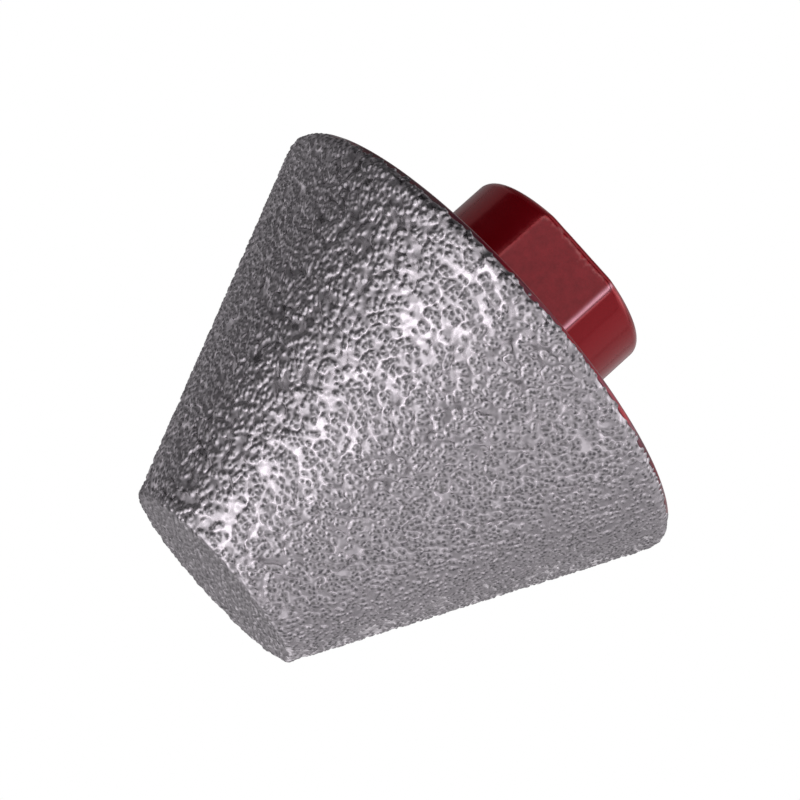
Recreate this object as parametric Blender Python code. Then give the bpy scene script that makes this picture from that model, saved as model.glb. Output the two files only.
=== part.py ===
"""Conical diamond milling bit with a short threaded hub.

Frame: the bit stands on the flat end of its hub, nose up. +Z is the axis of
rotation, the origin is the centre of the hub's end face, and the two wrench
flats face -Y and +Y. Lengths are in metres.
"""

import math

import bmesh
import bpy
from mathutils import Vector

# ---- driving dimensions ------------------------------------------------------
BIG_D = 0.0480          # largest diameter, at the rim, over the grit
NOSE_D = 0.0197         # diameter of the sharp corner that the nose rounding replaces
CONE_LEN = 0.0325       # back face to nose face
HUB_D = 0.0200          # round part of the hub
HUB_LEN = 0.0098        # hub end face to back face
FLATS = 0.0179          # across the two wrench flats

RIM_R = 0.0012          # rounding between back face and cone side
NOSE_R = 0.0005         # rounding between cone side and nose face
HUB_END_R = 0.0010      # rounding of the hub's outer end
HUB_ROOT_R = 0.0004     # fillet between hub and back face

COAT = 0.0005           # thickness of the brazed grit layer
GAP = 0.0003            # room kept between the layer and the steel under it
PAINTED_TO = math.radians(-62)   # the rim's rounding is painted up to this angle

BORE_D = 0.0120         # core of the 14 mm x 2 mm thread; the thread itself is not cut here
BORE_MOUTH_D = 0.0146   # countersink at the socket's mouth
BORE_DEPTH = 0.0185     # cylindrical depth of the socket
DRILL_POINT = math.radians(59)   # half the included angle at the socket's bottom

SEGMENTS = 96           # sides of every turned surface

RED = (0.23, 0.012, 0.022, 1.0)
NICKEL = (0.46, 0.45, 0.46, 1.0)


# ---- profiles (r, z) ---------------------------------------------------------
def arc(cr, cz, radius, start, end, steps):
    """Points on a circle about (cr, cz), from one angle to another."""
    return [
        (
            cr + radius * math.cos(start + (end - start) * i / steps),
            cz + radius * math.sin(start + (end - start) * i / steps),
        )
        for i in range(steps + 1)
    ]


def side_normal():
    """Angle of the cone side's outward normal: the side is tangent to the rim's
    rounding and passes through the nose's sharp corner."""
    dr = NOSE_D / 2 - (BIG_D / 2 - RIM_R)
    dz = CONE_LEN - RIM_R
    return math.atan2(dz, dr) - math.acos(RIM_R / math.hypot(dr, dz))


def cone_outline(inset, start):
    """The cone from its rim rounding to the axis, moved inwards by inset."""
    normal = side_normal()
    rim_r, rim_z = BIG_D / 2 - RIM_R, HUB_LEN + RIM_R
    top = HUB_LEN + CONE_LEN
    # centre of the nose rounding: NOSE_R inside both the side and the face
    nose_z = top - NOSE_R
    reach = NOSE_D / 2 * math.cos(normal) + top * math.sin(normal) - NOSE_R
    nose_r = (reach - nose_z * math.sin(normal)) / math.cos(normal)
    points = arc(rim_r, rim_z, RIM_R - inset, start, normal, 6)
    nose = max(NOSE_R - inset, 0.0)
    if nose > 0:
        points += arc(nose_r, nose_z, nose, normal, math.pi / 2, 4)
    else:
        # inset past the rounding: the two straight lines simply meet
        level = top - inset
        line = NOSE_D / 2 * math.cos(normal) + top * math.sin(normal) - inset
        points.append(((line - level * math.sin(normal)) / math.cos(normal), level))
    points.append((0.0, top - inset))
    return points


def body_profile():
    """Steel body, from the bottom of the socket out, round and up to the nose."""
    depth = BORE_DEPTH
    mouth = (BORE_MOUTH_D - BORE_D) / 2
    points = [
        (0.0, depth + BORE_D / 2 / math.tan(DRILL_POINT)),
        (BORE_D / 2, depth),
        (BORE_D / 2, mouth),
        (BORE_MOUTH_D / 2, 0.0),
    ]
    points += arc(HUB_D / 2 - HUB_END_R, HUB_END_R, HUB_END_R, -math.pi / 2, 0.0, 5)
    points += arc(
        HUB_D / 2 + HUB_ROOT_R, HUB_LEN - HUB_ROOT_R, HUB_ROOT_R, math.pi, math.pi / 2, 3
    )
    points += arc(
        BIG_D / 2 - RIM_R, HUB_LEN + RIM_R, RIM_R, -math.pi / 2, PAINTED_TO, 2
    )
    points += cone_outline(COAT + GAP, PAINTED_TO)
    return points


def coating_profile():
    """Grit layer: along its inside from the axis to the rim, and back over its outside."""
    start = PAINTED_TO + GAP / RIM_R
    outer = cone_outline(0.0, start)
    inner = cone_outline(COAT, start)
    return inner[::-1] + outer


# ---- solids ------------------------------------------------------------------
def material(name, colour, roughness, metallic):
    mat = bpy.data.materials.new(name)
    mat.use_nodes = True
    shader = mat.node_tree.nodes["Principled BSDF"]
    shader.inputs["Base Color"].default_value = colour
    shader.inputs["Roughness"].default_value = roughness
    shader.inputs["Metallic"].default_value = metallic
    mat.diffuse_color = colour
    return mat


def turned(name, profile, mat):
    """A closed solid of revolution about Z, from a profile whose ends lie on the axis."""
    bm = bmesh.new()
    verts = [bm.verts.new((r, 0.0, z)) for r, z in profile]
    edges = [bm.edges.new(pair) for pair in zip(verts, verts[1:])]
    bmesh.ops.spin(
        bm,
        geom=verts + edges,
        cent=(0.0, 0.0, 0.0),
        axis=(0.0, 0.0, 1.0),
        angle=2.0 * math.pi,
        steps=SEGMENTS,
        use_merge=True,
        use_duplicate=False,
    )
    bmesh.ops.remove_doubles(bm, verts=bm.verts, dist=1e-7)
    bmesh.ops.dissolve_degenerate(bm, edges=bm.edges, dist=1e-7)
    bmesh.ops.recalc_face_normals(bm, faces=bm.faces)
    if bm.calc_volume(signed=True) < 0:
        bmesh.ops.reverse_faces(bm, faces=bm.faces)
    mesh = bpy.data.meshes.new(name)
    bm.to_mesh(mesh)
    bm.free()
    mesh.materials.append(mat)
    obj = bpy.data.objects.new(name, mesh)
    bpy.context.scene.collection.objects.link(obj)
    return obj


def block(name, low, high):
    """A box between two corners, used to cut with and left out of the part."""
    bm = bmesh.new()
    bmesh.ops.create_cube(bm, size=1.0)
    low, high = Vector(low), Vector(high)
    for v in bm.verts:
        v.co = Vector(
            (low[i] + (v.co[i] + 0.5) * (high[i] - low[i])) for i in range(3)
        )
    mesh = bpy.data.meshes.new(name)
    bm.to_mesh(mesh)
    bm.free()
    obj = bpy.data.objects.new(name, mesh)
    bpy.context.scene.collection.objects.link(obj)
    obj.hide_render = True
    obj.display_type = "WIRE"
    return obj


def cut(obj, cutter):
    mod = obj.modifiers.new("cut_" + cutter.name, "BOOLEAN")
    mod.operation = "DIFFERENCE"
    mod.solver = "EXACT"
    mod.object = cutter


def main():
    for obj in list(bpy.data.objects):
        bpy.data.objects.remove(obj, do_unlink=True)

    red = material("red_paint", RED, 0.22, 0.0)
    nickel = material("brazed_grit", NICKEL, 0.42, 0.9)

    body = turned("steel_body", body_profile(), red)
    coating = turned("diamond_coating", coating_profile(), nickel)

    # the flats run the full length of the hub and stop at the back face
    for name, side in (("flat_front", -1), ("flat_back", 1)):
        near, far = side * FLATS / 2, side * HUB_D
        cutter = block(
            name,
            (-HUB_D, min(near, far), -0.002),
            (HUB_D, max(near, far), HUB_LEN),
        )
        cut(body, cutter)

    for obj in (body, coating):
        obj.data.shade_smooth()
        obj.data.set_sharp_from_angle(angle=math.radians(32))


main()
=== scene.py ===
import math

import bpy
import numpy as np
from mathutils import Matrix, Vector
from mathutils.kdtree import KDTree


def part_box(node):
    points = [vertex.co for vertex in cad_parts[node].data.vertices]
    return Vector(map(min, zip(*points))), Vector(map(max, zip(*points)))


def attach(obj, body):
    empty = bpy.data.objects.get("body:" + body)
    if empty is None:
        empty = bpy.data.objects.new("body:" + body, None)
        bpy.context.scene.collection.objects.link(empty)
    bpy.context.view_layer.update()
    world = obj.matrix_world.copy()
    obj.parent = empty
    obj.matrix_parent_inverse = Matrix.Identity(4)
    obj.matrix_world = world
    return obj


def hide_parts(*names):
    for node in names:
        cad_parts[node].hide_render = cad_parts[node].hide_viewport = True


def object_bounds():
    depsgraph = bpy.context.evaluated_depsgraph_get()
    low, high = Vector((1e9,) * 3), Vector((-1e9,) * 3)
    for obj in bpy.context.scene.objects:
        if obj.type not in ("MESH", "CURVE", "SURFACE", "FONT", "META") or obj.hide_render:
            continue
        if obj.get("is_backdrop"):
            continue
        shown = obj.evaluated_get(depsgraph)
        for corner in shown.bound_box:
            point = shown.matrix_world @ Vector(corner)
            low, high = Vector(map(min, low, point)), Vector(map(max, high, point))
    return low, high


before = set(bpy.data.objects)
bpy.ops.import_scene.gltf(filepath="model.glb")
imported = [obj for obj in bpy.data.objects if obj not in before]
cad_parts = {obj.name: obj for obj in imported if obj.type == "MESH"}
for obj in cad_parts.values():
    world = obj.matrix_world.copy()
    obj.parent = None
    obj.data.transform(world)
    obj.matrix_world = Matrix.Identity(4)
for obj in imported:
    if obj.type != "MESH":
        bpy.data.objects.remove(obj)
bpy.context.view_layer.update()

MM = 0.001

# ---- sizes shared with the solids (mm) ---------------------------------------
coat_low, coat_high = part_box("diamond_coating")
body_low, body_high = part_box("steel_body")
BIG_R = coat_high.x / MM            # 24, over the grit
TOP = coat_high.z / MM              # 42.3, nose face over the grit
NOSE_R0 = 9.85                      # sharp nose corner
HUB_LEN = 9.8
HUB_R = 10.0
FLATS = 17.9
RIM_R = 1.2
NOSE_R = 0.5
HUB_END_R = 1.0
FLAT_END_R = 0.66
HUB_ROOT_R = 0.4
FLAT_SIDE_R = 0.12       # softness of the edges between the flats and the round part
BITES = ((266.0, 0.34), (261.5, 0.30), (281.0, 0.20), (97.0, 0.30), (80.0, 0.25))   # degrees, mm
COAT = 0.5
BORE_R = 6.0
MOUTH_R = 7.3
BORE_DEPTH = 18.5

# grit: how far the grains stand out of the braze, how many there are
PROUD = 0.24
GRAINS_PER_MM2 = 2.90
GRAIN_APART = 0.31
MOUND_REACH = (0.150, 0.245)        # how far the braze is drawn out round a grain
MOUND_HIGH = 0.176
CROWN_R = (0.100, 0.156)            # half width of the bare crystal on top
STEP_ROUND = 0.108      # mesh spacing round the axis and along the profile
STEP_ALONG = 0.098
PAINT_EDGE = math.radians(-41)      # where the painted lip ends on the rim's rounding

rng = np.random.default_rng(4811)


# ---- profile of the coated surface -------------------------------------------
def side_normal():
    dr = NOSE_R0 - (BIG_R - RIM_R)
    dz = (TOP - HUB_LEN) - RIM_R
    return math.atan2(dz, dr) - math.acos(RIM_R / math.hypot(dr, dz))


PSI = side_normal()
RIM_C = (BIG_R - RIM_R, HUB_LEN + RIM_R)


class Profile:
    """The coated surface moved inwards by inset, followed from the rim to the axis by its length.
    Its nose is rounded to the radius nose."""

    def __init__(self, inset, start, nose):
        self.rim = RIM_R - inset
        self.nose = nose
        self.start = start
        self.top = TOP - inset
        reach = NOSE_R0 * math.cos(PSI) + TOP * math.sin(PSI) - inset - nose
        self.cz = self.top - nose
        self.cr = (reach - self.cz * math.sin(PSI)) / math.cos(PSI)
        self.a = (
            RIM_C[0] + self.rim * math.cos(PSI),
            RIM_C[1] + self.rim * math.sin(PSI),
        )
        self.b = (
            self.cr + self.nose * math.cos(PSI),
            self.cz + self.nose * math.sin(PSI),
        )
        self.l0 = self.rim * (PSI - start)
        self.l1 = math.hypot(self.b[0] - self.a[0], self.b[1] - self.a[1])
        self.l2 = self.nose * (math.pi / 2 - PSI)
        self.l3 = self.cr
        self.length = self.l0 + self.l1 + self.l2 + self.l3

    def at(self, s):
        """(r, z, normal r, normal z) at arc lengths s."""
        s = np.asarray(s, float)
        r, z, nr, nz = (np.zeros_like(s) for _ in range(4))
        i = s <= self.l0
        t = self.start + s / self.rim
        for o, v in zip(
            (r, z, nr, nz),
            (
                RIM_C[0] + self.rim * np.cos(t),
                RIM_C[1] + self.rim * np.sin(t),
                np.cos(t),
                np.sin(t),
            ),
        ):
            o[i] = v[i]
        i = (s > self.l0) & (s <= self.l0 + self.l1)
        t = (s - self.l0) / self.l1
        r[i] = (self.a[0] + (self.b[0] - self.a[0]) * t)[i]
        z[i] = (self.a[1] + (self.b[1] - self.a[1]) * t)[i]
        nr[i], nz[i] = math.cos(PSI), math.sin(PSI)
        i = (s > self.l0 + self.l1) & (s <= self.l0 + self.l1 + self.l2)
        t = PSI + (s - self.l0 - self.l1) / self.nose
        for o, v in zip(
            (r, z, nr, nz),
            (
                self.cr + self.nose * np.cos(t),
                self.cz + self.nose * np.sin(t),
                np.cos(t),
                np.sin(t),
            ),
        ):
            o[i] = v[i]
        i = s > self.l0 + self.l1 + self.l2
        r[i] = (self.cr - (s - self.l0 - self.l1 - self.l2))[i]
        z[i] = self.top
        nr[i], nz[i] = 0.0, 1.0
        return r, z, nr, nz


# ---- mesh helpers ------------------------------------------------------------
def zipper(a_start, a_count, a_off, b_start, b_count, b_off):
    """Triangles between two rings of vertices whose angles are (off + index) / count turns."""
    ja, jb = np.arange(a_count), np.arange(b_count)
    mid_a = (a_off + ja + 0.5) / a_count % 1.0
    mid_b = (b_off + jb + 0.5) / b_count % 1.0
    order_a, order_b = np.argsort(mid_a), np.argsort(mid_b)
    # the b vertex reached once every b edge before this a edge has been passed
    k = np.searchsorted(mid_b[order_b], mid_a, side="left") - 1
    cur_b = (order_b[k] + 1) % b_count
    tri_a = np.stack([a_start + ja, a_start + (ja + 1) % a_count, b_start + cur_b], 1)
    k = np.searchsorted(mid_a[order_a], mid_b, side="right") - 1
    cur_a = (order_a[k] + 1) % a_count
    tri_b = np.stack([b_start + (jb + 1) % b_count, b_start + jb, a_start + cur_a], 1)
    return np.concatenate([tri_a, tri_b])


def fan(pole, start, count, flip):
    j = np.arange(count)
    t = np.stack([start + j, start + (j + 1) % count, np.full(count, pole)], 1)
    return t[:, ::-1] if flip else t


def make_mesh(name, verts_mm, tris, attributes=(), normals=None, uv=None):
    mesh = bpy.data.meshes.new(name)
    n, m = len(verts_mm), len(tris)
    mesh.vertices.add(n)
    mesh.vertices.foreach_set("co", (verts_mm * MM).astype(np.float32).ravel())
    mesh.loops.add(m * 3)
    mesh.loops.foreach_set("vertex_index", tris.astype(np.int32).ravel())
    mesh.polygons.add(m)
    mesh.polygons.foreach_set("loop_start", np.arange(0, 3 * m, 3, dtype=np.int32))
    mesh.update(calc_edges=True)
    mesh.shade_smooth()
    for key, values in attributes:
        at = mesh.attributes.new(key, "FLOAT", "POINT")
        at.data.foreach_set("value", np.asarray(values, np.float32))
    if uv is not None:
        layer = mesh.uv_layers.new(name="OFBake")
        layer.uv.foreach_set("vector", uv.astype(np.float32).ravel())
    if normals is not None:
        mesh.normals_split_custom_set_from_vertices(normals.astype(np.float32).tolist())
    mesh.validate()
    obj = bpy.data.objects.new(name, mesh)
    bpy.context.scene.collection.objects.link(obj)
    return obj


def vertex_normals(verts, tris):
    a, b, c = verts[tris[:, 0]], verts[tris[:, 1]], verts[tris[:, 2]]
    f = np.cross(b - a, c - a)
    n = np.zeros_like(verts)
    for k in range(3):
        for i in range(3):
            n[:, i] += np.bincount(tris[:, k], weights=f[:, i], minlength=len(verts))
    return n / np.maximum(np.linalg.norm(n, axis=1), 1e-12)[:, None]


def volume(verts, tris):
    a, b, c = verts[tris[:, 0]], verts[tris[:, 1]], verts[tris[:, 2]]
    return float(np.einsum("ij,ij->i", a, np.cross(b, c)).sum() / 6)


def waves(points, count, shortest, longest, seed):
    """A smooth random field over points, with unit spread."""
    g = np.random.default_rng(seed)
    d = g.normal(size=(count, 3))
    d /= np.linalg.norm(d, axis=1)[:, None]
    k = 2 * math.pi / g.uniform(shortest, longest, count)
    ph = g.uniform(0, 2 * math.pi, count)
    out = np.zeros(len(points))
    for i in range(count):
        out += np.sin(points @ (d[i] * k[i]) + ph[i])
    return out * math.sqrt(2.0 / count)


# ---- the grit ----------------------------------------------------------------
def channels(points):
    """Near 0 along winding lines where the braze lies bare, larger inside the islands of grit. The lines
    are broad on three sides of the cone and narrow between them."""
    turn = np.arctan2(points[:, 0], -points[:, 1])
    broad = 0.5 + 0.5 * np.cos(3 * (turn - math.radians(18)))
    line = waves(points, 60, 1.6, 3.6, 77) + 0.24 * waves(points, 60, 0.55, 1.05, 78)
    return np.abs(line) / (0.44 + 0.78 * broad)


def scatter(profile, s_from):
    """Grain centres on the braze: random, none much closer than GRAIN_APART, in islands with channels of
    bare braze winding between them."""
    steps = np.linspace(s_from, profile.length, 4000)
    r = profile.at(steps)[0]
    cum = np.concatenate([[0], np.cumsum((r[1:] + r[:-1]) / 2 * np.diff(steps))])
    area = cum[-1] * 2 * math.pi
    want = int(area * GRAINS_PER_MM2)
    tries = want * 8
    s = np.interp(rng.uniform(0, cum[-1], tries), cum, steps)
    phi = rng.uniform(0, 2 * math.pi, tries)
    r, z, nr, nz = profile.at(s)
    p = np.stack([r * np.cos(phi), r * np.sin(phi), z], 1)
    nrm = np.stack([nr * np.cos(phi), nr * np.sin(phi), nz], 1)
    vein = channels(p)
    vein = np.where(s > profile.l0 + profile.l1 + profile.l2, 1.0, vein)
    keep = rng.uniform(0, 1, tries) < np.clip((vein - 0.30) / 0.20, 0.045, 1.0)
    apart = GRAIN_APART * rng.uniform(0.72, 1.30, tries)
    cell = 0.5
    seen, chosen = {}, []
    key = np.floor(p / cell).astype(int)
    pl = p.tolist()
    for i in np.flatnonzero(keep):
        kx, ky, kz = key[i].tolist()
        x, y, zz = pl[i]
        d2 = apart[i] ** 2
        clash = False
        for ax in (kx - 1, kx, kx + 1):
            for ay in (ky - 1, ky, ky + 1):
                for az in (kz - 1, kz, kz + 1):
                    for qx, qy, qz in seen.get((ax, ay, az), ()):
                        if (qx - x) ** 2 + (qy - y) ** 2 + (qz - zz) ** 2 < d2:
                            clash = True
                            break
                    if clash:
                        break
                if clash:
                    break
            if clash:
                break
        if clash:
            continue
        seen.setdefault((kx, ky, kz), []).append((x, y, zz))
        chosen.append(i)
        if len(chosen) >= want:
            break
    chosen = np.array(chosen)
    return p[chosen], nrm[chosen], area


def smooth_step(t):
    t = np.clip(t, 0, 1)
    return t * t * (3 - 2 * t)


def mounds(points, centres, normals):
    """The braze drawn up round the grains at each point (0 flat, 1 at a grain), how much of the point is
    bare crystal, the lean of that crystal's top, and a shade for it."""
    n = len(points)
    tree = KDTree(n)
    for i, co in enumerate(points.tolist()):
        tree.insert(co, i)
    tree.balance()
    pile = np.zeros(n)
    crown = np.zeros(n)
    lean = np.zeros(n)
    tone = np.zeros(n)
    power = 2.2
    g = np.random.default_rng(9173)
    for c, nrm in zip(centres, normals):
        reach = g.uniform(*MOUND_REACH)
        tall = g.uniform(0.62, 1.15)
        rho = g.uniform(*CROWN_R)
        sides = int(g.integers(4, 8))
        turn = g.uniform(0, 2 * math.pi)
        ang = turn + 2 * math.pi * (np.arange(sides) + g.uniform(-0.25, 0.25, sides)) / sides
        dist = rho * g.uniform(0.80, 1.15, sides)
        stretch, way = g.uniform(0.78, 1.28), g.uniform(0, 2 * math.pi)
        tilt = g.normal(0, 0.20, 2)
        shade = g.uniform(-1, 1)
        found = tree.find_range(c.tolist(), reach * 2.4)
        if not found:
            continue
        idx = np.fromiter((f[1] for f in found), int, len(found))
        t1 = np.cross(nrm, (0.0, 0.0, 1.0) if abs(nrm[2]) < 0.9 else (1.0, 0.0, 0.0))
        t1 /= np.linalg.norm(t1)
        t2 = np.cross(nrm, t1)
        d = points[idx] - c
        u, v = d @ t1, d @ t2
        cl, sl = math.cos(way), math.sin(way)
        u, v = (u * cl + v * sl) * stretch, (-u * sl + v * cl) / stretch
        q = np.hypot(u, v) / reach
        edge = 1 / (1 + 2.4**4)
        swell = np.maximum((1 / (1 + q**4) - edge) / (1 - edge), 0) * tall
        pile[idx] += swell**power
        gauge = np.maximum(
            (np.outer(u, np.cos(ang)) + np.outer(v, np.sin(ang))) / dist, 0
        )
        gauge = (gauge**7).sum(1) ** (1 / 7)
        mark = smooth_step((1.24 - gauge) / 0.46)
        higher = mark > crown[idx]
        crown[idx] = np.where(higher, mark, crown[idx])
        lean[idx] = np.where(higher, (tilt[0] * u + tilt[1] * v) * mark, lean[idx])
        tone[idx] = np.where(higher, shade, tone[idx])
    return pile ** (1 / power), crown, lean, tone


def spread(values, tris, times):
    """Evens out a field over the mesh, as the molten braze does between the crystals."""
    n = len(values)
    e = np.concatenate([tris[:, [0, 1]], tris[:, [1, 2]], tris[:, [2, 0]]])
    i = np.concatenate([e[:, 0], e[:, 1]])
    j = np.concatenate([e[:, 1], e[:, 0]])
    degree = np.bincount(i, minlength=n)
    out = values.copy()
    for _ in range(times):
        near = np.bincount(i, weights=out[j], minlength=n) / degree
        out = 0.4 * out + 0.6 * near
    return out


def build_coating(material):
    grit_start = PAINT_EDGE - math.radians(20)
    prof = Profile(PROUD, grit_start, 0.30)
    rings = int(round(prof.length / STEP_ALONG))
    s = np.linspace(0, prof.length, rings + 1)[:-1]     # the last is the axis
    r, z, nr, nz = prof.at(s)
    counts = np.maximum(np.round(2 * math.pi * r / STEP_ROUND).astype(int), 6)
    offs = np.where(np.arange(len(s)) % 2, 0.5, 0.0)
    starts = np.concatenate([[0], np.cumsum(counts)])
    ring_of = np.repeat(np.arange(len(s)), counts)
    j = np.arange(starts[-1]) - starts[ring_of]
    phi = 2 * math.pi * (j + offs[ring_of]) / counts[ring_of]
    base = np.stack([r[ring_of] * np.cos(phi), r[ring_of] * np.sin(phi), z[ring_of]], 1)
    nrm = np.stack(
        [nr[ring_of] * np.cos(phi), nr[ring_of] * np.sin(phi), nz[ring_of]], 1
    )
    pole = len(base)
    base = np.vstack([base, [0, 0, prof.at([prof.length])[1][0]]])
    nrm = np.vstack([nrm, [0, 0, 1]])

    centres, cnrm, area = scatter(prof, prof.rim * math.radians(14))
    print("grains", len(centres), "area mm2", round(area), "surface vertices", len(base))
    tris = [
        zipper(starts[i], counts[i], offs[i], starts[i + 1], counts[i + 1], offs[i + 1])
        for i in range(len(s) - 1)
    ]
    tris.append(fan(pole, starts[len(s) - 1], counts[-1], False))
    allt = np.concatenate(tris)

    # the braze lies in soft waves and is drawn up round every grain, bridging the close ones
    pile, crown, lean, tone = mounds(base, centres, cnrm)
    along = s[ring_of] - prof.l0 - prof.l1
    calm = np.append(smooth_step((along + 0.6) / 1.4), 1.0)
    isle = np.maximum(smooth_step((channels(base) - 0.20) / 0.24), calm)
    pile = pile * (0.22 + 0.78 * isle)
    braze = 0.046 + 0.022 * waves(base, 48, 0.9, 2.2, 31) + 0.007 * waves(base, 40, 0.42, 0.85, 32)
    # the nose's edge is not one clean line
    corner = np.append(np.exp(-(((along - 0.1) / 0.40) ** 2)), 0.0)
    braze = braze + corner * (0.024 * waves(base, 40, 0.40, 0.95, 33) - 0.020)
    height = braze + MOUND_HIGH * np.minimum(pile, 1.10) + 0.022 * crown + lean
    # the tops are level, worn to one envelope; the nose is flatter still
    cap, soft = PROUD - 0.006, 0.012
    height = cap - soft * np.logaddexp(0, (cap - height) / soft)
    height = cap - (cap - np.maximum(height, -0.05)) * (1 - 0.26 * calm)
    height = spread(height, allt, 1)
    surface = base + nrm * height[:, None]

    # shared shading normals, so that neighbouring bands meet without a line
    shading = vertex_normals(surface, allt)
    if np.einsum("ij,ij->i", shading, nrm).mean() < 0:
        allt, shading = allt[:, ::-1], -shading
        tris = [t[:, ::-1] for t in tris]

    # bands of rings, each a closed ring of the layer with its own underside
    per = np.array([len(t) for t in tris])
    cum = np.cumsum(per)
    bands = int(math.ceil(cum[-1] / 172000))
    cuts = [int(np.searchsorted(cum, cum[-1] * (b + 1) / bands)) + 1 for b in range(bands)]
    cuts[-1] = len(tris)
    names = ["grit_rim", "grit_side_wide", "grit_side_middle", "grit_side_narrow", "grit_nose", "grit_tip"]
    first = 0
    made = []
    for b, last in enumerate(cuts):
        t = np.concatenate(tris[first:last])
        to_pole = last == len(tris)
        lo = starts[first]
        hi = (pole + 1) if to_pole else starts[last + 1]
        local = t - lo
        pts = surface[lo:hi]
        sh = shading[lo:hi]
        attrs = [("crown", crown[lo:hi]), ("tone", tone[lo:hi]), ("isle", isle[lo:hi])]
        if to_pole:
            # pole is the last of this slice
            pass
        depth = COAT - PROUD
        n_top = hi - lo
        extra, extra_n, walls = [], [], []
        # underside: the band's two edge rings moved in, and coarse rings between them
        a0, ac, ao = 0, counts[first], offs[first]
        inner_first = n_top
        ring_in = base[lo : lo + ac] - nrm[lo : lo + ac] * depth
        extra.append(ring_in)
        extra_n.append(-nrm[lo : lo + ac])
        walls.append(zipper(inner_first, ac, ao, a0, ac, ao))
        prev = (inner_first, ac, ao)
        nxt = inner_first + ac
        stops = []
        if s[first] < prof.l0 - 0.2:
            stops += [x for x in np.linspace(s[first], prof.l0, 7)[1:]]
        upper_s = prof.length if to_pole else s[last]
        if s[first] < prof.l0 + prof.l1 < upper_s:
            stops += [prof.l0 + prof.l1, prof.l0 + prof.l1 + prof.l2]
        for x in stops:
            if x <= s[first] + 0.05 or x >= upper_s - 0.05:
                continue
            rr, zz, mr, mz = (float(q[0]) for q in prof.at([x]))
            cnt = 160
            ph = 2 * math.pi * np.arange(cnt) / cnt
            q = np.stack([rr * np.cos(ph), rr * np.sin(ph), np.full(cnt, zz)], 1)
            qn = np.stack([mr * np.cos(ph), mr * np.sin(ph), np.full(cnt, mz)], 1)
            extra.append(q - qn * depth)
            extra_n.append(-qn)
            walls.append(zipper(nxt, cnt, 0.0, prev[0], prev[1], prev[2]))
            prev = (nxt, cnt, 0.0)
            nxt += cnt
        if to_pole:
            extra.append(base[pole : pole + 1] - nrm[pole : pole + 1] * depth)
            extra_n.append(-nrm[pole : pole + 1])
            walls.append(fan(nxt, prev[0], prev[1], True))
            nxt += 1
        else:
            e0, ec, eo = starts[last] - lo, counts[last], offs[last]
            ring_in = base[starts[last] : starts[last] + ec] - nrm[starts[last] : starts[last] + ec] * depth
            extra.append(ring_in)
            extra_n.append(-nrm[starts[last] : starts[last] + ec])
            walls.append(zipper(nxt, ec, eo, prev[0], prev[1], prev[2]))
            walls.append(zipper(e0, ec, eo, nxt, ec, eo))
            nxt += ec
        pts = np.vstack([pts] + extra)
        sh = np.vstack([sh] + extra_n)
        wall = np.concatenate(walls)
        # make the walls agree with the outside, whichever way the helper wound them
        best = None
        for w in (wall, wall[:, ::-1]):
            e = np.concatenate([np.concatenate([local, w])[:, [0, 1]], np.concatenate([local, w])[:, [1, 2]], np.concatenate([local, w])[:, [2, 0]]])
            code = e[:, 0].astype(np.int64) * (len(pts) + 1) + e[:, 1]
            repeats = len(code) - len(np.unique(code))
            if best is None or repeats < best[0]:
                best = (repeats, w)
        full = np.concatenate([local, best[1]])
        pad = len(pts) - (hi - lo)
        attrs = [(k, np.concatenate([v, np.zeros(pad)])) for k, v in attrs]
        name = names[b]
        obj = make_mesh(name, pts, full, attrs, sh)
        obj.data.materials.append(material)
        print(name, "tris", len(full), "edge repeats", best[0], "volume mm3", round(volume(pts, full), 1))
        made.append(obj)
        first = last
    return made


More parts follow.
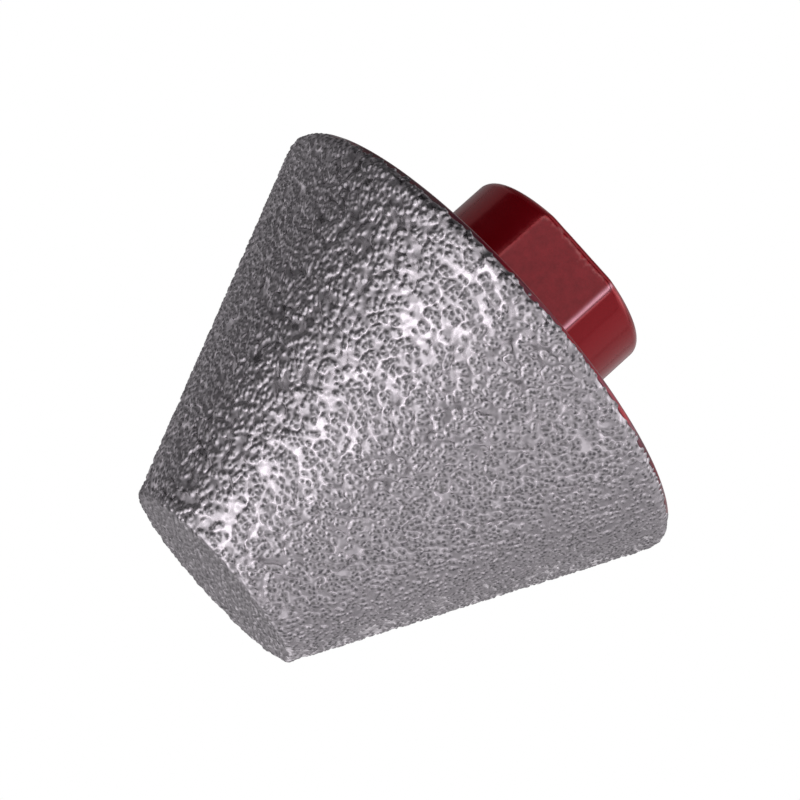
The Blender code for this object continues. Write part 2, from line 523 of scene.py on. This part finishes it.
# ---- the painted body --------------------------------------------------------
def build_body(paint_mat, steel_mat):
    # each ring also carries thin paint, the rubbed edge with its painted highlight, and the lip's dust with its
    # painted shade and painted sheen
    rings = []      # (points n x 3, angle offset in steps, is bare steel, flat mask)

    # worn carries the rubbed edge with its painted highlight; the last argument carries the lip's dust with its
    # painted shade and painted sheen
    def ring(n, radius, z, bare=0.0, off=0.0, flat=None, edge=None, worn=None, dust_shade_sheen=0.0):
        ph = 2 * math.pi * (np.arange(n) + off) / n
        rad = radius(ph) if callable(radius) else np.full(n, float(radius))
        zz = z(ph) if callable(z) else np.full(n, float(z))
        mask = flat(ph) if callable(flat) else np.zeros(n)
        thin = edge(ph) if callable(edge) else np.zeros(n)
        rub_highlight = worn(ph) if callable(worn) else np.zeros(n)
        grey = np.zeros(n) + dust_shade_sheen
        rings.append((np.stack([rad * np.cos(ph), rad * np.sin(ph), zz], 1), off, bare, mask, thin, rub_highlight, grey))

    # socket: drill point, thread, countersink
    tip = BORE_DEPTH + BORE_R / math.tan(math.radians(59))
    for f in (0.15, 0.5, 0.85):
        ring(48 if f < 0.3 else 132, BORE_R * f, tip - (tip - BORE_DEPTH) * f, 1.0)
    pitch, crest, root = 2.0, 5.97, 7.02

    def thread(z):
        fade = float(smooth_step(np.array((BORE_DEPTH - 1.2 - z) / 1.6)))
        cone = MOUTH_R - z * 1.0 if z < MOUTH_R - 5.6 else 0.0

        def radius(ph):
            t = ((z - pitch * ph / (2 * math.pi)) / pitch) % 1.0
            # flat crest, 30 degree flank, narrow flat root, 30 degree flank
            up = np.clip((np.abs(t - 0.5) * -2 + 1 - 0.22) / (1 - 0.22 - 0.14), 0, 1)
            up = 0.85 * up + 0.15 * smooth_step(up)
            return np.maximum(crest + (root - crest) * up * fade, cone)

        return radius

    ring(132, BORE_R, BORE_DEPTH, 1.0)
    z = BORE_DEPTH - 0.12
    while z > 0.03:
        ring(132, thread(z), z, 1.0)
        z -= 0.12
    ring(132, MOUTH_R, 0.0, 1.0)
    ring(180, MOUTH_R + 0.25, 0.0)

    # hub: round, with two flats, all edges softened by the paint
    half = FLATS / 2

    def soft_min(a, b, k):
        h = np.clip(0.5 + 0.5 * (b - a) / k, 0, 1)
        return b + (a - b) * h - k * h * (1 - h)

    def section(z):
        def drop(radius):
            return 0.0 if z >= radius else radius - math.sqrt(max(radius**2 - (radius - z) ** 2, 0.0))

        d1 = drop(HUB_END_R)

        def radius(ph):
            # the flat's outer edge was rounded by hand before painting
            worn = FLAT_END_R + 0.02 * np.sin(9 * ph + 1) * np.sin(23 * ph)
            d2 = np.array([drop(w) for w in worn])
            cut = (half - d2) / np.maximum(np.abs(np.sin(ph)), 1e-3)
            return soft_min(np.full(len(ph), HUB_R - d1), cut, FLAT_SIDE_R)

        return radius

    def flat_end(ph):
        # how far from the end face the milled flat begins: uneven, with bites, and round at its corners
        ring_at = np.stack([HUB_R * np.cos(ph), HUB_R * np.sin(ph), np.zeros(len(ph))], 1)
        out = 0.46 + 0.055 * waves(ring_at, 24, 0.7, 2.4, 55)
        for at, deep in BITES:
            off = (ph - math.radians(at) + math.pi) % (2 * math.pi) - math.pi
            out = out + deep * np.exp(-((off / math.radians(1.2)) ** 2))
        side = (ph + math.pi / 2) % math.pi - math.pi / 2
        return out + 0.45 * (np.abs(math.pi / 2 - np.abs(side)) / math.radians(26.5)) ** 8

    def flat_mask(z):
        def mask(ph):
            cut = half / np.maximum(np.abs(np.sin(ph)), 1e-3)
            return np.clip((HUB_R - 0.03 - cut) / 0.15, 0, 1) * smooth_step((z - flat_end(ph)) / 0.13)

        return mask

    def rubbed_edge_highlight_mask(ph):
        # a lighter, metallic pink line along one edge of each flat: partly paint rubbed by a wrench, partly a
        # painted highlight for the light that this edge catches
        out = np.zeros(len(ph))
        for at in (244.9, 64.9):
            off = (ph - math.radians(at) + math.pi) % (2 * math.pi) - math.pi
            out = np.maximum(out, np.exp(-((off / math.radians(1.15)) ** 2)))
        return out

    def edge_mask(z):
        # the paint is thin on the flats' outer edges and where they run into the round part
        def mask(ph):
            cut = half / np.maximum(np.abs(np.sin(ph)), 1e-3)
            side = np.exp(-(((cut - HUB_R + 0.05) / 0.13) ** 2))
            end = np.exp(-(((z - flat_end(ph) - 0.16) / 0.13) ** 2)) * np.clip((HUB_R - cut) / 0.12, 0, 1)
            return np.maximum(0.25 * side, end)

        return mask

    ring(840, lambda ph: section(0.0)(ph) - 0.35, 0.0)
    for t in np.linspace(0, 1, 19):
        zz = HUB_END_R * (1 - math.cos(t * math.pi / 2))
        ring(840, section(zz), zz, flat=flat_mask(zz), edge=edge_mask(zz), worn=rubbed_edge_highlight_mask if t > 0.55 else None)
    for zz in np.arange(HUB_END_R + 0.4, HUB_LEN - HUB_ROOT_R - 0.1, 0.4):
        ring(840, section(zz), zz, flat=flat_mask(zz), edge=edge_mask(zz), worn=rubbed_edge_highlight_mask)
    for t in np.linspace(0, 1, 7):
        a = math.pi - t * math.pi / 2
        ring(
            840,
            lambda ph, a=a: section(5.0)(ph) + HUB_ROOT_R * (1 + math.cos(a)),
            HUB_LEN - HUB_ROOT_R + HUB_ROOT_R * math.sin(a),
            worn=rubbed_edge_highlight_mask if t < 0.5 else None,
        )
    # back face, flat and painted, in rings whose vertex count grows outwards
    for rr, n in ((11.2, 480), (13, 560), (15, 640), (17, 720), (19, 840), (21, 1000), (22.2, 1200)):
        ring(n, rr, HUB_LEN)
    # rim rounding, ending in an irregular painted lip over the grit's edge
    count = 1280
    ph = 2 * math.pi * np.arange(count) / count
    around = np.stack([BIG_R * np.cos(ph), BIG_R * np.sin(ph), np.zeros(count)], 1)
    side = around[:, 0] / BIG_R
    more = smooth_step((side - 0.12) / 0.42)
    less = smooth_step((-side - 0.05) / 0.35)
    edge = (
        PAINT_EDGE
        + math.radians(7.0) * less
        + math.radians(5.5) * waves(around, 30, 1.8, 6.0, 91)
        + math.radians(0.8) * waves(around, 40, 0.6, 1.5, 92)
    )
    # near the grit the paint turns darker red and then grey-brown: partly dust from the braze, partly painted shade
    # where the lip meets the grit and a painted grazing reflection, stronger on the +X side and varying along the
    # rim
    dust_shade_sheen_amount = 0.24 + 0.70 * more
    dust_shade_sheen_amount = np.clip(dust_shade_sheen_amount + (0.12 + 0.20 * more) * waves(around, 24, 1.6, 6.5, 93), 0, 1)
    lip = RIM_R - 0.02
    for t in np.linspace(0, 1, 12):
        ang = -math.pi / 2 + (edge + math.pi / 2) * t
        # the paint runs out thin between the first grains
        rad = lip - 0.13 * float(smooth_step(np.array((t - 0.55) / 0.45)))
        ring(
            count,
            lambda p, ang=ang, rad=rad: RIM_C[0] + rad * np.cos(ang),
            lambda p, ang=ang, rad=rad: RIM_C[1] + rad * np.sin(ang),
            dust_shade_sheen=dust_shade_sheen_amount * smooth_step((t - 0.42 + 0.34 * np.maximum(more, less)) / 0.34),
        )
    lip -= 0.13
    for inset, turn in ((0.03, 3.0), (0.09, 5.0), (0.20, 5.5), (COAT - 0.10, 5.5)):
        ang = edge + math.radians(turn)
        ring(
            count,
            lambda p, ang=ang, inset=inset: RIM_C[0] + (lip - inset) * np.cos(ang),
            lambda p, ang=ang, inset=inset: RIM_C[1] + (lip - inset) * np.sin(ang),
            dust_shade_sheen=1.0,
        )
    # under the grit
    deep = RIM_R - COAT - 0.05
    for a in (math.radians(-5), PSI):
        ring(240, RIM_C[0] + deep * math.cos(a), RIM_C[1] + deep * math.sin(a))
    level = TOP - COAT - 0.03
    line = NOSE_R0 * math.cos(PSI) + TOP * math.sin(PSI) - COAT - 0.03
    ring(160, (line - level * math.sin(PSI)) / math.cos(PSI), level)

    pts = [np.array([[0, 0, tip]])]
    tris = []
    starts, at = [], 1
    for p, off, bare, mask, thin, rub_highlight, grey in rings:
        starts.append(at)
        pts.append(p)
        at += len(p)
    pts.append(np.array([[0, 0, level]]))
    bare_faces = []
    t = fan(0, starts[0], len(rings[0][0]), True)
    tris.append(t)
    bare_faces.append(np.ones(len(t)))
    for i in range(len(rings) - 1):
        t = zipper(starts[i], len(rings[i][0]), rings[i][1], starts[i + 1], len(rings[i + 1][0]), rings[i + 1][1])
        tris.append(t)
        bare_faces.append(np.full(len(t), 1.0 if rings[i][2] and rings[i + 1][2] else 0.0))
    t = fan(at, starts[-1], len(rings[-1][0]), False)
    tris.append(t)
    bare_faces.append(np.zeros(len(t)))
    verts, faces = np.vstack(pts), np.concatenate(tris)
    bare_faces = np.concatenate(bare_faces)
    mask = np.concatenate([[0.0]] + [m[3] for m in rings] + [[0.0]])
    thin = np.concatenate([[0.0]] + [m[4] for m in rings] + [[0.0]])
    rub_highlight = np.concatenate([[0.0]] + [m[5] for m in rings] + [[0.0]])
    grey = np.concatenate([[0.0]] + [m[6] for m in rings] + [[0.0]])
    if volume(verts, faces) < 0:
        faces = faces[:, ::-1]
    obj = make_mesh("painted_body", verts, faces, [("flat", mask), ("thin", thin), ("rub_highlight", rub_highlight), ("dust_shade_sheen", grey)])
    obj.data.materials.append(paint_mat)
    obj.data.materials.append(steel_mat)
    obj.data.polygons.foreach_set("material_index", bare_faces.astype(np.int32))
    obj.data.set_sharp_from_angle(angle=math.radians(38))
    print("painted_body tris", len(faces), "volume mm3", round(volume(verts, faces), 1))
    return obj


# ---- materials ---------------------------------------------------------------
def new_material(name):
    mat = bpy.data.materials.new(name)
    mat.use_nodes = True
    return mat, mat.node_tree.nodes, mat.node_tree.links, mat.node_tree.nodes["Principled BSDF"]


def noise(nodes, links, coord, scale, detail=3.0, rough=0.55):
    n = nodes.new("ShaderNodeTexNoise")
    n.inputs["Scale"].default_value = scale
    n.inputs["Detail"].default_value = detail
    n.inputs["Roughness"].default_value = rough
    links.new(coord, n.inputs["Vector"])
    return n.outputs["Fac"]


def remap(nodes, links, value, a, b, c, d):
    n = nodes.new("ShaderNodeMapRange")
    n.inputs["From Min"].default_value = a
    n.inputs["From Max"].default_value = b
    n.inputs["To Min"].default_value = c
    n.inputs["To Max"].default_value = d
    links.new(value, n.inputs["Value"])
    return n.outputs["Result"]


def mix_colour(nodes, links, fac, a, b):
    n = nodes.new("ShaderNodeMix")
    n.data_type = "RGBA"
    for socket, value in ((n.inputs[0], fac), (n.inputs[6], a), (n.inputs[7], b)):
        if hasattr(value, "links"):
            links.new(value, socket)
        else:
            socket.default_value = value
    return n.outputs[2]


def mix_value(nodes, links, fac, a, b):
    n = nodes.new("ShaderNodeMix")
    n.data_type = "FLOAT"
    for socket, value in ((n.inputs[0], fac), (n.inputs[2], a), (n.inputs[3], b)):
        if hasattr(value, "links"):
            links.new(value, socket)
        else:
            socket.default_value = value
    return n.outputs[0]


def attribute(nodes, name):
    n = nodes.new("ShaderNodeAttribute")
    n.attribute_name = name
    return n.outputs["Fac"]


def grit_material():
    mat, nodes, links, shader = new_material("brazed_diamond_grit")
    coord = nodes.new("ShaderNodeTexCoord").outputs["Object"]
    crown, tone = attribute(nodes, "crown"), attribute(nodes, "tone")
    cloud = noise(nodes, links, coord, 420.0, 2.0)
    fine = noise(nodes, links, coord, 5200.0, 3.0)
    isle = attribute(nodes, "isle")
    bare = mix_colour(nodes, links, cloud, (0.64, 0.595, 0.645, 1), (0.68, 0.645, 0.682, 1))
    braze = mix_colour(nodes, links, isle, bare, (0.575, 0.545, 0.580, 1))
    stone = mix_colour(nodes, links, remap(nodes, links, tone, -1, 1, 0, 1), (0.145, 0.140, 0.154, 1), (0.265, 0.255, 0.262, 1))
    links.new(mix_colour(nodes, links, crown, braze, stone), shader.inputs["Base Color"])
    smooth = mix_value(nodes, links, isle, remap(nodes, links, cloud, 0.3, 0.7, 0.20, 0.27), 0.34)
    rough = remap(nodes, links, fine, 0.3, 0.7, 0.34, 0.48)
    links.new(mix_value(nodes, links, crown, smooth, rough), shader.inputs["Roughness"])
    links.new(mix_value(nodes, links, crown, 1.0, 0.86), shader.inputs["Metallic"])
    bump = nodes.new("ShaderNodeBump")
    bump.inputs["Strength"].default_value = 1.0
    bump.inputs["Distance"].default_value = 0.000006
    links.new(fine, bump.inputs["Height"])
    links.new(bump.outputs["Normal"], shader.inputs["Normal"])
    return mat


def paint_material():
    mat, nodes, links, shader = new_material("gloss_red_paint")
    coord = nodes.new("ShaderNodeTexCoord").outputs["Object"]
    flat = attribute(nodes, "flat")
    cloud = noise(nodes, links, coord, 260.0, 4.0, 0.6)
    blotch = noise(nodes, links, coord, 900.0, 5.0, 0.65)
    gloss = mix_colour(nodes, links, cloud, (0.33, 0.003, 0.010, 1), (0.38, 0.006, 0.016, 1))
    dull = mix_colour(nodes, links, remap(nodes, links, blotch, 0.35, 0.65, 0, 1), (0.235, 0.010, 0.017, 1), (0.385, 0.030, 0.041, 1))
    coat = mix_colour(nodes, links, flat, gloss, dull)
    fleck = noise(nodes, links, coord, 1500.0, 3.0, 0.6)
    thin = mix_value(nodes, links, attribute(nodes, "thin"), 0.0, remap(nodes, links, fleck, 0.40, 0.60, 0.0, 0.85))
    paint = mix_colour(nodes, links, thin, coat, (0.56, 0.15, 0.155, 1))
    # the lip goes from a darker red to grey-brown: partly braze dust, partly painted shade and a painted grazing
    # reflection
    dust_shade_sheen = attribute(nodes, "dust_shade_sheen")
    lip_dust_shade_sheen = mix_colour(nodes, links, dust_shade_sheen, (0.160, 0.005, 0.034, 1), (0.150, 0.098, 0.108, 1))
    cover = mix_value(nodes, links, remap(nodes, links, dust_shade_sheen, 0.0, 0.30, 0.0, 1.0), 0.0, remap(nodes, links, fleck, 0.32, 0.60, 0.74, 1.0))
    paint = mix_colour(nodes, links, cover, paint, lip_dust_shade_sheen)
    # one edge of each flat turns a lighter, metallic pink: partly rubbed paint, partly a painted highlight
    rub_highlight = attribute(nodes, "rub_highlight")
    links.new(mix_colour(nodes, links, rub_highlight, paint, (0.78, 0.37, 0.45, 1)), shader.inputs["Base Color"])
    links.new(mix_value(nodes, links, rub_highlight, 0.42, 0.9), shader.inputs["Metallic"])
    r = mix_value(nodes, links, flat, remap(nodes, links, cloud, 0.3, 0.7, 0.15, 0.21), remap(nodes, links, blotch, 0.35, 0.65, 0.32, 0.46))
    links.new(r, shader.inputs["Roughness"])
    shader.inputs["IOR"].default_value = 1.45
    shader.inputs["Coat Weight"].default_value = 0.12
    shader.inputs["Coat Roughness"].default_value = 0.08
    peel = noise(nodes, links, coord, 700.0, 2.0)
    mill = noise(nodes, links, coord, 2600.0, 4.0, 0.7)
    bump = nodes.new("ShaderNodeBump")
    bump.inputs["Strength"].default_value = 1.0
    bump.inputs["Distance"].default_value = 0.000012
    links.new(peel, bump.inputs["Height"])
    rougher = nodes.new("ShaderNodeBump")
    rougher.inputs["Distance"].default_value = 0.00002
    links.new(flat, rougher.inputs["Strength"])
    links.new(mill, rougher.inputs["Height"])
    links.new(bump.outputs["Normal"], rougher.inputs["Normal"])
    links.new(rougher.outputs["Normal"], shader.inputs["Normal"])
    return mat


def steel_material():
    mat, nodes, links, shader = new_material("machined_steel")
    coord = nodes.new("ShaderNodeTexCoord").outputs["Object"]
    cloud = noise(nodes, links, coord, 500.0, 3.0)
    links.new(mix_colour(nodes, links, cloud, (0.40, 0.39, 0.385, 1), (0.50, 0.49, 0.48, 1)), shader.inputs["Base Color"])
    links.new(remap(nodes, links, cloud, 0.3, 0.7, 0.26, 0.38), shader.inputs["Roughness"])
    shader.inputs["Metallic"].default_value = 1.0
    fine = noise(nodes, links, coord, 3000.0, 3.0)
    bump = nodes.new("ShaderNodeBump")
    bump.inputs["Distance"].default_value = 0.000006
    links.new(fine, bump.inputs["Height"])
    links.new(bump.outputs["Normal"], shader.inputs["Normal"])
    return mat


# ---- stage -------------------------------------------------------------------
def white(name, strength):
    mat = bpy.data.materials.new(name)
    mat.use_nodes = True
    nodes, links = mat.node_tree.nodes, mat.node_tree.links
    nodes.clear()
    out = nodes.new("ShaderNodeOutputMaterial")
    glow = nodes.new("ShaderNodeEmission")
    glow.inputs["Color"].default_value = (1, 1, 1, 1)
    glow.inputs["Strength"].default_value = strength
    links.new(glow.outputs[0], out.inputs["Surface"])
    return mat


def disc(name, radius, z, mat, sides=96):
    ph = 2 * math.pi * np.arange(sides) / sides
    verts = [(radius * math.cos(a), radius * math.sin(a), z) for a in ph]
    mesh = bpy.data.meshes.new(name)
    mesh.from_pydata(verts, [], [list(range(sides))])
    mesh.materials.append(mat)
    obj = bpy.data.objects.new(name, mesh)
    bpy.context.scene.collection.objects.link(obj)
    obj.visible_diffuse = obj.visible_glossy = obj.visible_transmission = False
    obj.visible_shadow = False
    obj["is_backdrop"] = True
    return obj


def sweep(name, radius, mat):
    """A closed pale backdrop round everything, seen only by the camera."""
    import bmesh

    bm = bmesh.new()
    bmesh.ops.create_icosphere(bm, subdivisions=3, radius=radius)
    mesh = bpy.data.meshes.new(name)
    bm.to_mesh(mesh)
    bm.free()
    mesh.materials.append(mat)
    obj = bpy.data.objects.new(name, mesh)
    bpy.context.scene.collection.objects.link(obj)
    obj.visible_diffuse = obj.visible_glossy = obj.visible_transmission = False
    obj.visible_shadow = False
    obj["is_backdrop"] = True
    return obj


def softbox(name, azimuth, elevation, distance, width, height, radiance, colour=(1, 1, 1)):
    """A soft light on the sphere round the bit; azimuth 0 is at -Y, 90 at +X."""
    a, e = math.radians(azimuth), math.radians(elevation)
    where = Vector((math.sin(a) * math.cos(e), -math.cos(a) * math.cos(e), math.sin(e)))
    data = bpy.data.lights.new(name, "AREA")
    data.shape = "RECTANGLE"
    data.size, data.size_y = width, height
    data.energy = radiance * math.pi * width * height
    data.color = colour
    obj = bpy.data.objects.new(name, data)
    bpy.context.scene.collection.objects.link(obj)
    obj.location = where * distance + Vector((0, 0, 0.022))
    obj.rotation_mode = "QUATERNION"
    obj.rotation_quaternion = where.to_track_quat("Z", "Y")
    obj.visible_camera = False
    return obj


def make_camera():
    data = bpy.data.cameras.new("camera")
    cam = bpy.data.objects.new("camera", data)
    bpy.context.scene.collection.objects.link(cam)
    data.sensor_fit = "HORIZONTAL"
    data.sensor_width = 36.0
    data.lens = 170.45
    data.clip_start, data.clip_end = 0.01, 50.0
    place = Vector((0.0, -0.326344, 0.090622))
    aim = Vector((0.000724, 0.0, 0.019302))
    roll = math.radians(-131.915)
    forward = (aim - place).normalized()
    level = forward.cross(Vector((0, 0, 1))).normalized()
    above = level.cross(forward)
    right = level * math.cos(roll) + above * math.sin(roll)
    up = above * math.cos(roll) - level * math.sin(roll)
    back = -forward
    cam.matrix_world = Matrix(
        (
            (right.x, up.x, back.x, place.x),
            (right.y, up.y, back.y, place.y),
            (right.z, up.z, back.z, place.z),
            (0, 0, 0, 1),
        )
    )
    bpy.context.scene.camera = cam
    return cam


# ---- lights --------------------------------------------------------------------
# A tent of soft panels round the bit. Each row: elevation, width and height of its panels as seen from
# the bit (all in degrees), and the azimuth and radiance of every panel that is lit.
PANEL_COLOUR = (1.0, 0.975, 0.99)
TENT = (
    (90, 40.0, 40.0, ((0, 0.58),)),
    (62, 22.0, 27.0, ((-135, 0.42), (-90, 0.20), (-45, 0.51), (0, 1.13), (45, 1.36), (90, 0.81),
          (135, 0.20), (180, 0.27))),
    (38, 18.2, 22.0, ((-157.5, 0.93), (-135, 0.61), (-112.5, 0.53), (-90, 0.33), (-67.5, 0.75),
          (-45, 0.50), (-22.5, 0.19), (0, 0.64), (22.5, 1.96), (45, 1.05), (90, 0.54), (157.5, 0.12),
          (180, 0.28))),
    (17, 22.0, 20.0, ((-157.5, 1.17), (-135, 0.40), (-112.5, 0.30), (-90, 0.38), (-67.5, 1.36),
          (-45, 0.59), (0, 0.56), (22.5, 0.83), (45, 0.49), (67.5, 0.20), (112.5, 0.04), (135, 0.67),
          (157.5, 0.20), (180, 0.38))),
    (-4, 22.6, 21.0, ((-157.5, 0.77), (-135, 0.30), (-112.5, 0.49), (-90, 0.53), (-67.5, 0.56),
          (-45, 0.29), (-22.5, 0.45), (0, 0.99), (22.5, 0.59), (45, 0.59), (90, 0.15), (112.5, 0.15),
          (135, 0.22), (157.5, 0.17), (180, 0.45))),
    (-24, 27.6, 20.0, ((-150, 0.48), (-120, 0.53), (-90, 0.64), (-60, 0.52), (-30, 0.23), (0, 1.13),
          (120, 0.22), (150, 0.26), (180, 0.45))),
    (-48, 31.0, 28.0, ((-135, 0.47), (-90, 0.94), (-45, 0.49), (90, 0.06), (135, 0.06), (180, 0.36))),
    (-70, 60.0, 34.0, ((-60, 0.71), (180, 0.16))),
    (-88, 30.0, 30.0, ((0, 0.12),)),
)


# ---- put together ------------------------------------------------------------
make_camera()
grit = grit_material()
for piece in build_coating(grit):
    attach(piece, "root")
    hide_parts("diamond_coating")
body = build_body(paint_material(), steel_material())
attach(body, "root")
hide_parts("steel_body")

disc("floor", 1.4, -0.00002, white("floor_white", 1.0))
sweep("backdrop", 2.4, white("backdrop_white", 1.0))

for elevation, across, high, panels in TENT:
    for azimuth, radiance in panels:
        softbox(
            "panel_%+03d_%+04d" % (elevation, azimuth),
            azimuth,
            elevation,
            0.60,
            1.20 * math.tan(math.radians(across / 2)),
            1.20 * math.tan(math.radians(high / 2)),
            radiance,
            PANEL_COLOUR,
        )
softbox("strip", -36, -13, 0.60, 0.190, 0.169, 1.00, PANEL_COLOUR)

world = bpy.data.worlds.new("studio")
bpy.context.scene.world = world
world.use_nodes = True
world.node_tree.nodes["Background"].inputs["Color"].default_value = (1.0, 0.99, 1.0, 1)
world.node_tree.nodes["Background"].inputs["Strength"].default_value = 0.004
bpy.context.scene.view_settings.view_transform = "Standard"

low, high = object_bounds()
